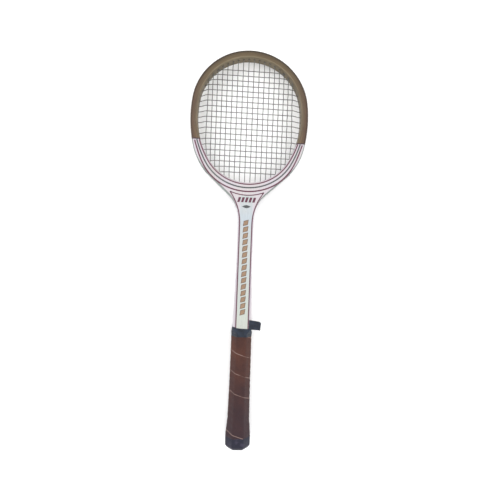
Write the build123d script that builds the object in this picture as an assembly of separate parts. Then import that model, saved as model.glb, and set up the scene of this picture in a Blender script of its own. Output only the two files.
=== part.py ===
"""Laminated wooden racket with a strung head, built up the way such a frame is made.

Frame: the origin is the middle of the butt's end face, +Y runs along the racket to the head,
+Z is square to the strings, and X runs across. All sizes are in millimetres.
"""

from build123d import *
import math
import os

# ---------------------------------------------------------------- driving dimensions
racket_length = 685.0        # butt end to the crown's outer face
frame_depth = 18.0           # wood, across the strings

# head: an oval of tangent arcs, given at the hoop's inner face
bed_half_width = 89.0        # at the widest line
bed_rise_above = 103.0       # widest line to the crown
bed_drop_below = 111.6       # widest line to the throat arch
bed_flank_radius_above = 201.0
bed_flank_radius_below = 138.5

# plies, from the string bed outwards
ring_ply = 2.25              # each of the two closed ring plies
bow_ply = 2.25               # each of the two inner bow plies
outer_bow_ply = 3.0          # outermost ply, which carries the string groove

# bow below the widest line, given at its outer face
bow_flank_radius = 232.0
bow_flank_turn = 12.5        # degrees of the flank arc
shoulder_radius = 96.0
shoulder_slope = 47.5        # degrees between the straight run and the racket's axis
throat_radius = 60.0
shaft_half_width = 13.0
wedge_horn_start = 18.0      # below the widest line, where the wedge's horns are thick enough
wedge_height = 68.4          # throat arch down to the joint between wedge and shaft core

# face overlays
overlay_thickness = 0.7
overlay_drop = 41.0          # hoop's widest line down to the facings' square tops
overlay_bow_margin = 1.7     # stays this far inside the bow's outer face
overlay_bed_margin = 1.0     # and this far outside the hoop's inner face

# string bed
string_diameter = 1.3
weave_clearance = 0.04
main_count = 18
cross_count = 20
main_side_gap = 16.7         # hoop's inner face to the outermost main, at the widest line
main_spread = 0.0728         # how much closer the outer mains stand than the inner ones
cross_top_gap = 21.0         # crown to the first cross
cross_bottom_gap = 18.0      # throat arch to the last cross
hole_row_offset = 1.4        # mains' holes above the middle plane, crosses' holes below it
hole_diameter = 2.2
groove_depth = 1.9
groove_half_width = 3.0
channel_depth = 2.4          # mains' channel between ring and wedge
channel_play = 0.1           # channel's extra width on each side of the holes
string_bend = 1.0            # bend where a string turns into the groove
unwoven_margin = 4.5         # crossings nearer to the hoop than this are not interlaced
knot_diameter = 2.7
knot_length = 2.4
knot_pocket_diameter = 4.2
knot_seat_depth = 2.2        # pocket floor below the frame's outer face
knot_round = 0.6             # rounding of a knot's edges, as a share of its wall
knot_pocket_length = 12.0    # long enough to leave the frame on its slope
groove_end_below = 4.0       # groove's foot below the outermost mains' ends
channel_end = 3.0            # channel's ends beyond the last mains that turn in it
drill_start = 3.0            # drills start this far inside the bed
drill_past = 30.0            # and run this far past the hoop's width
tie_off_reach = 80.0         # drill out through the shoulder

# handle: (height, half width, half depth) of the outer skin, octagonal
butt_face = (0.0, 12.0, 8.5)
butt_bevel = (3.0, 17.6, 13.6)
butt_shoulder = (8.0, 21.3, 17.0)
flare_top = (26.0, 21.3, 17.0)
flare_root = (52.0, 19.0, 15.7)
grip_middle = (110.0, 18.0, 15.2)
grip_top = (198.0, 17.5, 14.6)
skin = 1.5                   # leather and cap wall over the wood
facet_share = 0.27           # octagon's corner cut, as a share of its full width
cap_height = 24.0
cap_floor = 2.5
cheek_ramp = (200.0, 207.0)  # heights where the face cheeks slope down to the shaft
horn_root = (207.0, 16.3)    # side cheeks' horn: height, half width
horn_mid = (232.0, 15.6)
horn_tip = (302.0, 13.4)
horn_chamfer = 2.0

# collar tape and its loose tail
collar_foot = 193.0
collar_head = 208.5
tape = 0.6
tail_reach = 33.0
tail_drop = 2.5              # tail's foot below the collar's head
tail_rise = 16.0
tail_corner = (3.0, 2.5)     # cut off the tail's free corner: along, down
tail_lean = (1.3, 1.5)       # how far the tail's free edge leans in, and its top falls

# grip tack
tack_height = 16.0
tack_shank = (1.2, 8.0)      # diameter, length
tack_head = (4.0, 0.5)

edge_round = 1.5             # frame's long outer edges
bed_edge_round = 1.0         # hoop's inner edges

cutter_half_width = 40.0     # half width of shapes that cut the handle
past = 5.0                   # how far a cutting shape runs past what it cuts
touch = 1e-3                 # places closer than this are the same

# ---------------------------------------------------------------- derived places
hoop_width = 2 * ring_ply + 2 * bow_ply + outer_bow_ply
half_depth = frame_depth / 2
crown_y = racket_length - hoop_width
widest_y = crown_y - bed_rise_above
throat_y = widest_y - bed_drop_below
wedge_foot = throat_y - wedge_height
overlay_top = widest_y - overlay_drop
face_z = half_depth + overlay_thickness
string_radius = string_diameter / 2
weave_height = string_radius + weave_clearance / 2
core_half_width = shaft_half_width - (outer_bow_ply + 2 * bow_ply)
handle_top = cheek_ramp[1]
skin_sections = [butt_face, butt_bevel, butt_shoulder, flare_top, flare_root, grip_middle, grip_top]


def end_radius(half_width, rise, flank_radius):
    """Radius of an oval's end arc, tangent to its flank arc, from half width, rise and flank radius."""
    square = half_width**2 + rise**2 - 2 * half_width * flank_radius
    return square / (2 * (rise - flank_radius))


crown_radius = end_radius(bed_half_width, bed_rise_above, bed_flank_radius_above)
arch_radius = end_radius(bed_half_width, bed_drop_below, bed_flank_radius_below)
crown_turn = math.atan2(bed_flank_radius_above - bed_half_width, bed_rise_above - crown_radius)
arch_turn = math.atan2(bed_flank_radius_below - bed_half_width, bed_drop_below - arch_radius)


def trace(start, heading, moves):
    """Follows a path of tangent runs: each move is (radius, turn) or (length, None).

    A turn is in radians, positive clockwise. Returns dicts with the run's ends and, for an arc,
    its middle point, centre and radius.
    """
    x, y = start
    runs = []
    for size, turn in moves:
        if turn is None:
            end = (x + size * math.cos(heading), y + size * math.sin(heading))
            runs.append(dict(a=(x, y), b=end, centre=None, r=None, mid=None))
        else:
            side = math.copysign(1.0, turn)
            centre = (x + side * size * math.sin(heading), y - side * size * math.cos(heading))

            def at(angle):
                return (centre[0] - side * size * math.sin(angle), centre[1] + side * size * math.cos(angle))

            end = at(heading - turn)
            runs.append(dict(a=(x, y), b=end, centre=centre, r=size, mid=at(heading - turn / 2)))
            heading -= turn
        x, y = end
    return runs


def ring_runs(offset):
    """Right half of the hoop's oval, crown to arch, this far outside the inner face."""
    quarter = math.pi / 2
    return trace(
        (0.0, crown_y + offset),
        0.0,
        [
            (crown_radius + offset, crown_turn),
            (bed_flank_radius_above + offset, quarter - crown_turn),
            (bed_flank_radius_below + offset, quarter - arch_turn),
            (arch_radius + offset, arch_turn),
        ],
    )


def bow_runs(inset, foot):
    """Right half of the bow, crown to shaft foot, this far inside its outer face."""
    quarter = math.pi / 2
    offset = hoop_width - inset
    flank = math.radians(bow_flank_turn)
    slope = math.radians(shoulder_slope)
    reach = bed_half_width + hoop_width - shaft_half_width
    reach -= bow_flank_radius * (1 - math.cos(flank))
    reach -= shoulder_radius * (math.cos(flank) - math.cos(slope))
    reach -= throat_radius * (1 - math.cos(slope))
    straight = reach / math.sin(slope)
    runs = trace(
        (0.0, crown_y + offset),
        0.0,
        [
            (crown_radius + offset, crown_turn),
            (bed_flank_radius_above + offset, quarter - crown_turn),
            (bow_flank_radius - inset, flank),
            (shoulder_radius - inset, slope - flank),
            (straight, None),
            (throat_radius + inset, -slope),
        ],
    )
    shaft_start = runs[-1]["b"]
    return runs + trace(shaft_start, -quarter, [(shaft_start[1] - foot, None)])


def outline(runs):
    """Closed wire of a half outline and its mirror image across the racket's axis."""
    edges = []
    for flip in (1, -1):
        for run in runs:
            a, b = (flip * run["a"][0], run["a"][1]), (flip * run["b"][0], run["b"][1])
            if run["r"] is None:
                edges.append(Edge.make_line(a, b))
            else:
                edges.append(Edge.make_three_point_arc(a, (flip * run["mid"][0], run["mid"][1]), b))
    foot = runs[-1]["b"]
    if foot[0] > touch:
        edges.append(Edge.make_line((-foot[0], foot[1]), foot))
    return Wire(edges)


def slab(runs, low, high):
    """Solid inside a half outline and its mirror image, between two heights above the middle plane."""
    return extrude(Plane.XY.offset(low) * Face(outline(runs)), amount=high - low, dir=(0, 0, 1))


def block(x, y, z):
    """Box between pairs of coordinates."""
    sizes = [pair[1] - pair[0] for pair in (x, y, z)]
    middle = [(pair[0] + pair[1]) / 2 for pair in (x, y, z)]
    return Pos(*middle) * Box(*sizes)


def octagon(height, w, d, cut):
    """Octagonal wire w by d from middle to side, its corners cut at 45 degrees."""
    corners = [(w, d - cut), (w - cut, d), (cut - w, d), (-w, d - cut)]
    corners += [(-x, -z) for x, z in corners]
    return Wire.make_polygon([(x, height, z) for x, z in corners])


def octagon_loft(sections):
    """Ruled solid through octagons given as (height, half width, half depth, cut)."""
    return Part() + Solid.make_loft([octagon(*s) for s in sections], ruled=True)


def hit(runs, axis, value, above):
    """Point where a half outline meets x (axis 0) or y (axis 1), above or below the widest line."""
    for run in runs:
        a, b = run["a"], run["b"]
        if (min(a[1], b[1]) >= widest_y - touch) != above:
            continue
        if not min(a[axis], b[axis]) - touch <= value <= max(a[axis], b[axis]) + touch:
            continue
        if run["r"] is None:
            share = (value - a[axis]) / (b[axis] - a[axis])
            other = a[1 - axis] + share * (b[1 - axis] - a[1 - axis])
        else:
            rise = math.sqrt(run["r"] ** 2 - (value - run["centre"][axis]) ** 2)
            choices = (run["centre"][1 - axis] + rise, run["centre"][1 - axis] - rise)
            other = min(choices, key=lambda c: abs(c - run["mid"][1 - axis]))
        return (value, other) if axis == 0 else (other, value)
    raise ValueError(f"the outline does not reach {value}")


# ---------------------------------------------------------------- string places
def main_places():
    """X of each main, left to right: even in the middle and a little closer towards the sides."""
    outermost = bed_half_width - main_side_gap
    steps = [(i - (main_count - 1) / 2) / ((main_count - 1) / 2) for i in range(main_count)]
    return [outermost * (u * (1 + main_spread) - main_spread * u**3) for u in steps]


def cross_places():
    """Y of each cross, top to bottom, evenly spaced."""
    top, bottom = crown_y - cross_top_gap, throat_y + cross_bottom_gap
    return [top + (bottom - top) * j / (cross_count - 1) for j in range(cross_count)]


def is_woven(x, y):
    """True where a crossing is inside the bed and far enough from the hoop."""
    inner = ring_runs(-unwoven_margin)
    if abs(x) >= bed_half_width - unwoven_margin:
        return False
    return hit(inner, 0, abs(x), False)[1] < y < hit(inner, 0, abs(x), True)[1]


def weave_side(i, j):
    """Side of the middle plane that main i takes at cross j."""
    return 1 if (i + j) % 2 == 0 else -1


# ---------------------------------------------------------------- frame
def string_holes(mains_to_arch):
    """Straight holes of both rows; the mains' holes go down through the ring or stay in the crown."""
    holes = []
    reach = hoop_width + drill_past
    radius = hole_diameter / 2
    inner = ring_runs(0.0)
    for x in main_places():
        y = hit(inner, 0, abs(x), True)[1]
        holes.append(Pos(x, y - drill_start, hole_row_offset) * Rot(-90, 0, 0) * bore(radius, reach))
        if mains_to_arch:
            y = hit(inner, 0, abs(x), False)[1]
            holes.append(Pos(x, y + drill_start, hole_row_offset) * Rot(90, 0, 0) * bore(radius, reach))
    for y in cross_places():
        above = y >= widest_y
        x = hit(inner, 1, y, above)[0]
        for side in (1, -1):
            start = side * (x - drill_start)
            holes.append(Pos(start, y, -hole_row_offset) * Rot(0, side * 90, 0) * bore(radius, reach))
    return holes


def tie_off_holes():
    """Holes that take the outermost mains out through the shoulders."""
    inner = ring_runs(0.0)
    x = main_places()[-1]
    y = hit(inner, 0, x, False)[1] + drill_start
    drill = bore(hole_diameter / 2, tie_off_reach)
    return [Pos(side * x, y, hole_row_offset) * Rot(90, 0, 0) * drill for side in (1, -1)]


def bore(radius, length):
    """Cylinder that starts at the origin and runs along +Z."""
    return Pos(0, 0, length / 2) * Cylinder(radius, length)


def knot_seats():
    """Start point and outward direction of each of the four tie-off knots."""
    groove = bow_runs(0.0, handle_top)
    x = main_places()[-1]
    tops = cross_places()
    seats = []
    for side in (1, -1):
        y = hit(groove, 0, x, False)[1] + knot_seat_depth
        seats.append(((side * x, y, hole_row_offset), (0, -1, 0)))
    for y in (tops[0], tops[-1]):
        reach = hit(groove, 1, y, y >= widest_y)[0] - knot_seat_depth
        seats.append(((-reach, y, -hole_row_offset), (-1, 0, 0)))
    return seats


def along(seat, shape):
    """Turns a shape built along +Z to a knot's seat and direction."""
    point, direction = seat
    return Plane(origin=point, z_dir=direction) * shape


def in_octagon(piece):
    """Planes the handle's octagon on a full-length piece, below the handle's top."""
    across = (-cutter_half_width, cutter_half_width)
    return piece - (block(across, (-past, handle_top), across) - handle_wood())


def handle_wood():
    """Wooden handle inside its skin: octagons joined by straight facets."""
    sections = []
    for height, half_width, depth in skin_sections:
        w, d = half_width - skin, depth - skin
        sections.append((max(height, cap_floor), w, d, 2 * facet_share * w))
    sections.append((handle_top, horn_root[1], d, 2 * facet_share * w))
    return octagon_loft(sections)


def bow(inset_a, inset_b, drills, rounded=False):
    """One full-length ply: round the head and down both sides of the shaft to the butt."""
    split = horn_tip[0]
    upper = slab(bow_runs(inset_a, split), -half_depth, half_depth)
    upper -= slab(bow_runs(inset_b, split - past), -half_depth, half_depth)
    if rounded:
        rim = [e for e in upper.edges() if on_outline(e, bow_runs(inset_a, split))]
        upper = fillet(rim, edge_round)
    for side in (1, -1):
        x = sorted((side * (shaft_half_width - inset_a), side * (shaft_half_width - inset_b)))
        upper += block(x, (cap_floor, split), (-half_depth, half_depth))
    return in_octagon(upper) - drills


def on_outline(edge, runs):
    """True for an edge on the top or bottom face that lies on a half outline or its mirror image."""
    middle = edge @ 0.5
    if abs(abs(middle.Z) - half_depth) > touch:
        return False
    for run in runs:
        if run["r"] is None:
            a, b = Vector(*run["a"]), Vector(*run["b"])
            point = Vector(abs(middle.X), middle.Y)
            direction = (b - a).normalized()
            gap = abs((point - a).cross(direction).Z)
            inside = -touch <= (point - a).dot(direction) <= (b - a).length + touch
        else:
            spoke = math.hypot(abs(middle.X) - run["centre"][0], middle.Y - run["centre"][1])
            gap = abs(spoke - run["r"])
            low = min(run["a"][1], run["b"][1])
            high = max(run["a"][1], run["b"][1])
            inside = low - touch <= middle.Y <= high + touch
        if gap < touch and inside:
            return True
    return False


def ring(offset_a, offset_b, drills, rounded=False):
    """One closed ply of the hoop's ring."""
    ply = slab(ring_runs(offset_b), -half_depth, half_depth)
    ply -= slab(ring_runs(offset_a), -half_depth, half_depth)
    if rounded:
        rim = [e for e in ply.edges() if on_outline(e, ring_runs(offset_a))]
        ply = fillet(rim, bed_edge_round)
    return ply - drills


def string_groove():
    """Groove round the outside of the hoop, down to just below the last cross on the shoulders."""
    foot = hit(bow_runs(0.0, handle_top), 0, main_places()[-1], False)[1] - groove_end_below
    level = (-groove_half_width, groove_half_width)
    band = slab(bow_runs(-past, handle_top), *level) - slab(bow_runs(groove_depth, handle_top - past), *level)
    return band & block((-racket_length, racket_length), (foot, racket_length + past), level)


def throat_wedge(drills):
    """Solid wedge between the arch and the bows, with two horns running up beside the ring."""
    bows = outer_bow_ply + 2 * bow_ply
    body = slab(bow_runs(bows, wedge_foot), -half_depth, half_depth)
    body -= slab(ring_runs(2 * ring_ply), -half_depth, half_depth)
    horn_y = widest_y - wedge_horn_start
    body = body & block((-racket_length, racket_length), (wedge_foot, horn_y), (-half_depth, half_depth))
    low = hole_row_offset - hole_diameter / 2 - channel_play
    high = hole_row_offset + hole_diameter / 2 + channel_play
    channel = slab(ring_runs(2 * ring_ply + channel_depth), low, high)
    reach = main_places()[-2] + channel_end
    channel = channel & block((-reach, reach), (wedge_foot, widest_y), (low, high))
    return body - channel - drills


def overlay(side):
    """Thin facing on one side of the throat and shaft, its ends cut square at the top."""
    low, high = sorted((side * half_depth, side * face_z))
    sheet = slab(bow_runs(overlay_bow_margin, handle_top), low, high)
    sheet -= slab(ring_runs(overlay_bed_margin), low, high)
    return sheet & block((-racket_length, racket_length), (handle_top, overlay_top), (low, high))


def shaft_core():
    """Straight filler between the bows from the wedge to the butt."""
    core = block((-core_half_width, core_half_width), (cap_floor, wedge_foot), (-half_depth, half_depth))
    return in_octagon(core)


# ---------------------------------------------------------------- handle
def face_cheek(side):
    """Cheek on the front or back of the shaft, sloped off at its top."""
    far = cutter_half_width
    low, high = sorted((side * half_depth, side * far))
    cheek = handle_wood() & block((-far, far), (0, handle_top), (low, high))
    start, end = cheek_ramp
    beyond = end + past
    ramp = Polyline((start, far), (start, grip_top[2]), (end, face_z), (beyond, face_z), (beyond, far), close=True)
    cutter = extrude(Plane.YZ * make_face(ramp), amount=far, both=True)
    if side < 0:
        cutter = mirror(cutter, Plane.XY)
    return cheek - cutter


def side_cheek(side):
    """Cheek on one side of the shaft, with a long horn that tapers out along it."""
    horn = octagon_loft(
        [
            (horn_root[0], horn_root[1], half_depth, horn_chamfer),
            (horn_mid[0], horn_mid[1], half_depth, horn_chamfer),
            (horn_tip[0], horn_tip[1], half_depth, min(horn_chamfer, horn_tip[1] - shaft_half_width)),
        ]
    )
    x = sorted((side * shaft_half_width, side * cutter_half_width))
    return (handle_wood() + horn) & block(x, (0, horn_tip[0] + past), (-half_depth, half_depth))


def outer_skin(foot, top):
    """Outer octagonal form of cap and leather between two heights."""
    form = octagon_loft([(height, w, d, 2 * facet_share * w) for height, w, d in skin_sections])
    across = (-cutter_half_width, cutter_half_width)
    return form & block(across, (foot, top), across)


def grip_tack():
    """Small nail that pins the start of the leather to the back of the butt."""
    wood_face = -(flare_top[2] - skin)
    diameter, length = tack_shank
    head_diameter, head_height = tack_head
    at = Pos(0, cap_height - tack_height / 2, wood_face)
    shank = at * Pos(0, 0, length / 2) * Cylinder(diameter / 2, length)
    head = at * Pos(0, 0, -head_height / 2) * Cylinder(head_diameter / 2, head_height)
    return shank + head


def collar(inside):
    """Tape round the top of the leather, with the loose tail of its last turn standing out."""
    w, d = grip_top[1] + tape, grip_top[2] + tape
    cut = 2 * facet_share * w
    head = (collar_head, horn_root[1] + tape, face_z + tape, horn_chamfer)
    band = octagon_loft([(collar_foot, w, d, cut), (cheek_ramp[0], w, d, cut), head])
    foot, top = collar_head - tail_drop, collar_head - tail_drop + tail_rise
    root = shaft_half_width
    tail = Polyline(
        (root, top),
        (tail_reach - tail_corner[0], top - tail_lean[1]),
        (tail_reach, top - tail_lean[1] - tail_corner[1]),
        (tail_reach - tail_lean[0], foot),
        (root, foot),
        close=True,
    )
    flag = Pos(0, 0, face_z) * extrude(make_face(tail), amount=tape, dir=(0, 0, 1))
    shaft = block((-shaft_half_width, shaft_half_width), (0, collar_head + past), (-half_depth, half_depth))
    return band - shaft - inside + flag


# ---------------------------------------------------------------- strings
def bend(a, b, place):
    """Edges from (s, z) point a to b, level at both ends: two equal tangent arcs, or a straight run."""
    half_run, half_rise = (b[0] - a[0]) / 2, (b[1] - a[1]) / 2
    if abs(half_rise) < touch:
        return [Edge.make_line(place(*a), place(*b))]
    radius = (half_run**2 + half_rise**2) / (2 * abs(half_rise))
    angle = math.asin(abs(half_run) / radius) / 2
    ds = math.copysign(radius * math.sin(angle), half_run)
    dz = math.copysign(radius * (1 - math.cos(angle)), half_rise)
    middle = (a[0] + half_run, a[1] + half_rise)
    return [
        Edge.make_three_point_arc(place(*a), place(a[0] + ds, a[1] + dz), place(*middle)),
        Edge.make_three_point_arc(place(*middle), place(b[0] - ds, b[1] - dz), place(*b)),
    ]


def woven_run(points, place):
    """Edges of one string between the hoop's inner faces."""
    edges = []
    for a, b in zip(points, points[1:]):
        edges += bend(a, b, place)
    return edges


def turn_round(a, corner_a, corner_b, b):
    """Edges that go out through one hole, along the groove and back in through the next."""
    return FilletPolyline(a, corner_a, corner_b, b, radius=string_bend).edges()


def strand(edges):
    """Round string swept along its whole route."""
    route = Wire(edges)
    section = Plane(origin=route @ 0, z_dir=route % 0) * Circle(string_radius)
    return sweep(section, path=route)


def main_string():
    """All mains as one strand, left to right, turning at the crown's groove and the wedge's channel."""
    inner = ring_runs(0.0)
    groove = bow_runs(groove_depth - string_bend, handle_top)
    channel = ring_runs(2 * ring_ply + string_bend)
    xs, ys = main_places(), cross_places()
    seats = knot_seats()
    row = hole_row_offset
    edges = []
    for i, x in enumerate(xs):
        low, high = hit(inner, 0, abs(x), False)[1], hit(inner, 0, abs(x), True)[1]
        crossings = [
            (y, weave_side(i, j) * weave_height, is_woven(x, y))
            for j, y in enumerate(ys)
            if low < y < high
        ]
        points = [(low, row)] + [(y, z if woven else row) for y, z, woven in reversed(crossings)] + [(high, row)]
        going_up = i % 2 == 0
        if not going_up:
            points.reverse()
        if i == 0:
            end = seats[1][0][1] - knot_length
            edges.append(Edge.make_line((x, end, row), (x, low, row)))
        edges += woven_run(points, lambda s, z, x=x: (x, s, z))
        if i == main_count - 1:
            end = seats[0][0][1] - knot_length
            edges.append(Edge.make_line((x, low, row), (x, end, row)))
            break
        contour = groove if going_up else channel
        corners = [(c, hit(contour, 0, abs(c), going_up)[1], row) for c in (x, xs[i + 1])]
        walls = [(c, hit(inner, 0, abs(c), going_up)[1], row) for c in (x, xs[i + 1])]
        edges += turn_round(walls[0], corners[0], corners[1], walls[1])
    return strand(edges)


def cross_string():
    """All crosses as one strand, top to bottom, turning in the groove at the hoop's sides."""
    inner = ring_runs(0.0)
    groove = bow_runs(groove_depth - string_bend, handle_top)
    xs, ys = main_places(), cross_places()
    seats = knot_seats()
    row = -hole_row_offset
    edges = []
    for j, y in enumerate(ys):
        reach = hit(inner, 1, y, y >= widest_y)[0]
        points = [(-reach, row)]
        for i, x in enumerate(xs):
            if abs(x) < reach:
                points.append((x, -weave_side(i, j) * weave_height if is_woven(x, y) else row))
        points.append((reach, row))
        side = 1 if j % 2 == 0 else -1
        if side < 0:
            points.reverse()
        if j == 0:
            edges.append(Edge.make_line((seats[2][0][0] - knot_length, y, row), (-reach, y, row)))
        edges += woven_run(points, lambda s, z, y=y: (s, y, z))
        if j == cross_count - 1:
            edges.append(Edge.make_line((-reach, y, row), (seats[3][0][0] - knot_length, y, row)))
            break
        corners = []
        walls = []
        for level in (y, ys[j + 1]):
            corners.append((side * hit(groove, 1, level, level >= widest_y)[0], level, row))
            walls.append((side * hit(inner, 1, level, level >= widest_y)[0], level, row))
        edges += turn_round(walls[0], corners[0], corners[1], walls[1])
    return strand(edges)


def string_knots():
    """Four tight knots that hold the strands' ends against the floors of their pockets."""
    wall = (knot_diameter - string_diameter) / 2
    knots = []
    for seat in knot_seats():
        knot = bore(knot_diameter / 2, knot_length)
        knot = fillet(knot.edges(), wall * knot_round) - bore(string_radius, knot_length)
        knots.append(along(seat, knot))
    return Compound(children=[k.solid() for k in knots])


# ---------------------------------------------------------------- build and write
os.makedirs("parts", exist_ok=True)

pockets = [along(seat, bore(knot_pocket_diameter / 2, knot_pocket_length)) for seat in knot_seats()]
crown_holes = string_holes(False) + tie_off_holes()
ring_holes = string_holes(True)
ply_lines = [outer_bow_ply, outer_bow_ply + bow_ply, outer_bow_ply + 2 * bow_ply]

nodes = {
    "outer_bow": bow(0.0, ply_lines[0], crown_holes + pockets + [string_groove()], rounded=True),
    "middle_bow": bow(ply_lines[0], ply_lines[1], crown_holes),
    "inner_bow": bow(ply_lines[1], ply_lines[2], crown_holes),
    "ring_outer": ring(ring_ply, 2 * ring_ply, ring_holes),
    "ring_inner": ring(0.0, ring_ply, ring_holes, rounded=True),
    "throat_wedge": throat_wedge(crown_holes),
    "shaft_core": shaft_core(),
    "front_overlay": overlay(1),
    "back_overlay": overlay(-1),
    "front_cheek": face_cheek(1),
    "back_cheek": face_cheek(-1),
    "right_cheek": side_cheek(1),
    "left_cheek": side_cheek(-1),
    "main_string": main_string(),
    "cross_string": cross_string(),
    "string_knots": string_knots(),
}
tack = grip_tack()
for name in ("back_cheek", "shaft_core"):
    nodes[name] -= tack
nodes["grip_tack"] = tack
nodes["butt_cap"] = outer_skin(0.0, cap_height) - handle_wood() - tack
nodes["leather_grip"] = outer_skin(cap_height, grip_top[0]) - handle_wood()
nodes["collar_tape"] = collar([nodes[n] for n in (
    "leather_grip", "front_cheek", "back_cheek", "right_cheek", "left_cheek", "front_overlay", "back_overlay",
)])

for name, shape in nodes.items():
    export_step(shape, os.path.join("parts", f"{name}.step"))
    print(f"{name}: {shape.volume / 1000:.2f} cm3")
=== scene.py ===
"""Looks of a laminated wooden racket with a white painted throat, a wound leather grip and a strung head.

Everything is in metres in the frame's own axes: +Y runs from the butt to the head, +Z is square to
the strings, X runs across. Places come from the frame's boxes, and named sizes are written times mm.
"""

import functools
import math

import bpy
import numpy as np
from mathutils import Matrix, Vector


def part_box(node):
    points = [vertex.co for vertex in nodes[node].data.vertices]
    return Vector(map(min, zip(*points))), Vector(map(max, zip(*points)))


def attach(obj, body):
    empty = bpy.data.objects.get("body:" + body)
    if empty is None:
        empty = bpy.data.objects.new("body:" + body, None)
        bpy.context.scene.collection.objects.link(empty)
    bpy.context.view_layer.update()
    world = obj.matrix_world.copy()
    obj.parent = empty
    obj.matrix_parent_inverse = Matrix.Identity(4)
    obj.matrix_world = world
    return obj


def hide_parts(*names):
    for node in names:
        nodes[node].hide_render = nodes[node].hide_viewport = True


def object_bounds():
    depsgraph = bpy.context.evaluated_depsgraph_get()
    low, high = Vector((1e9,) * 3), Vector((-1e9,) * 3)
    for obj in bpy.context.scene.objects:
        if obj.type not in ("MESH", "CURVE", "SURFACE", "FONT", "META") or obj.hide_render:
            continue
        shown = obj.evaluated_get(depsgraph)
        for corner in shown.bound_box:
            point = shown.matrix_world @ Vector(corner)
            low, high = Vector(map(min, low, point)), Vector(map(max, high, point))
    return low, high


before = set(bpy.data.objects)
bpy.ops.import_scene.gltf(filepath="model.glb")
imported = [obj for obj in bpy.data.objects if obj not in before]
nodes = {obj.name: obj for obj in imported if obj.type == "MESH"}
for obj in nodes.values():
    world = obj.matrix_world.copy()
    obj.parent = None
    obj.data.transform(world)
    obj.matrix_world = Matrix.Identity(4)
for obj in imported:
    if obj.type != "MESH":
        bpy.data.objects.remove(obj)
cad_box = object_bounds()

mm = 0.001


# ---------------------------------------------------------------- sizes from the frame
def span(node, axis):
    """Lowest and highest place of a node along one axis."""
    low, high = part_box(node)
    return low[axis], high[axis]


ply = span("ring_outer", 0)[1] - span("ring_inner", 0)[1]
bed_half_width = span("ring_inner", 0)[1] - ply
crown_y = span("ring_inner", 1)[1] - ply
throat_y = span("ring_inner", 1)[0] + ply
hoop_width = span("outer_bow", 0)[1] - bed_half_width
bow_half_width = span("outer_bow", 0)[1]
paint_z = span("front_overlay", 2)[1]
paint_top = span("front_overlay", 1)[1]
wedge_foot = span("throat_wedge", 1)[0]
shaft_half_width = span("right_cheek", 0)[0]
cap_top = span("butt_cap", 1)[1]
grip_top = span("leather_grip", 1)[1]
tail_high = span("collar_tape", 1)[1]
tail_reach = span("collar_tape", 0)[1]
floor_z = cad_box[0][2]

# head: an oval of tangent arcs at the hoop's inner face, and the bow's arcs at its outer face
widest_y = crown_y - 103 * mm
flank_radius_above = 201 * mm
flank_radius = 138.5 * mm
bow_flank_radius = 232 * mm
bow_flank_turn = math.radians(12.5)
shoulder_radius = 96 * mm
shoulder_slope = math.radians(47.5)
throat_radius = 60 * mm

# handle: height, half width, half depth of the outer octagon
handle_sections = np.array([
    (0.0, 12.0, 8.5),
    (3.0, 17.6, 13.6),
    (8.0, 21.3, 17.0),
    (26.0, 21.3, 17.0),
    (52.0, 19.0, 15.7),
    (110.0, 18.0, 15.2),
    (198.0, 17.5, 14.6),
]) * mm
facet_share = 0.27
skin = 1.5 * mm

# painted panel: its top corners, the dip between them, and the lines that run down the shaft
panel_half_width = 29 * mm
panel_corner_y = throat_y - 16.4 * mm
panel_dip_y = throat_y - 22.0 * mm
neck_y = throat_y - 73.4 * mm
shaft_line_x = 10.4 * mm


# ---------------------------------------------------------------- colour and nodes
def linear(code, alpha=1.0):
    """Linear colour of an sRGB hex code."""
    parts = np.array([int(code[i:i + 2], 16) for i in (1, 3, 5)]) / 255
    parts = np.where(parts <= 0.04045, parts / 12.92, ((parts + 0.055) / 1.055) ** 2.4)
    return (*parts.tolist(), alpha)


def add_node(tree, kind, *values, output=0, **settings):
    """Adds a shader node and gives one of its outputs.

    values fill its inputs in order, and settings whose names start with a capital fill the inputs of
    that name; the other settings are its attributes. A socket is linked, anything else is set.
    """
    node = tree.nodes.new("ShaderNode" + kind)
    named = {name.replace("_", " "): value for name, value in settings.items() if name[0].isupper()}
    for name, value in settings.items():
        if name[0].islower():
            setattr(node, name, value)
    for key, value in [*enumerate(values), *named.items()]:
        if isinstance(value, bpy.types.NodeSocket):
            tree.links.new(value, node.inputs[key])
        else:
            node.inputs[key].default_value = value
    return node.outputs[output] if node.outputs else node


def new_material(name):
    """Material with an empty tree, its way to add a node, a place on the object and that place's parts."""
    material = bpy.data.materials.new(name)
    material.use_nodes = True
    material.node_tree.nodes.clear()
    add = functools.partial(add_node, material.node_tree)
    place = add("TexCoord", output="Object")
    return material, add, place, add("SeparateXYZ", place).node.outputs


def close_material(add, colour, roughness, bump=None, depth=0.1 * mm, **sockets):
    """Ends a material in a Principled shader; bump is a height from 0 to 1 that stands for depth."""
    if bump is not None:
        sockets["Normal"] = add("Bump", Height=bump, Distance=depth)
    add("OutputMaterial", add("BsdfPrincipled", Base_Color=colour, Roughness=roughness, **sockets))


def dress(node, material):
    """Gives a CAD node one material."""
    mesh = nodes[node].data
    mesh.materials.clear()
    mesh.materials.append(material)


# ---------------------------------------------------------------- meshes
def faces_of(rows, cols, wrap_rows):
    """Quads of a grid whose columns close on themselves, and whose rows do too if asked."""
    r = np.arange(rows if wrap_rows else rows - 1)[:, None]
    c = np.arange(cols)[None, :]
    down, across = (r + 1) % rows, (c + 1) % cols
    quads = np.stack([r * cols + c, r * cols + across, down * cols + across, down * cols + c], -1)
    return quads.reshape(-1, 4)


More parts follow.
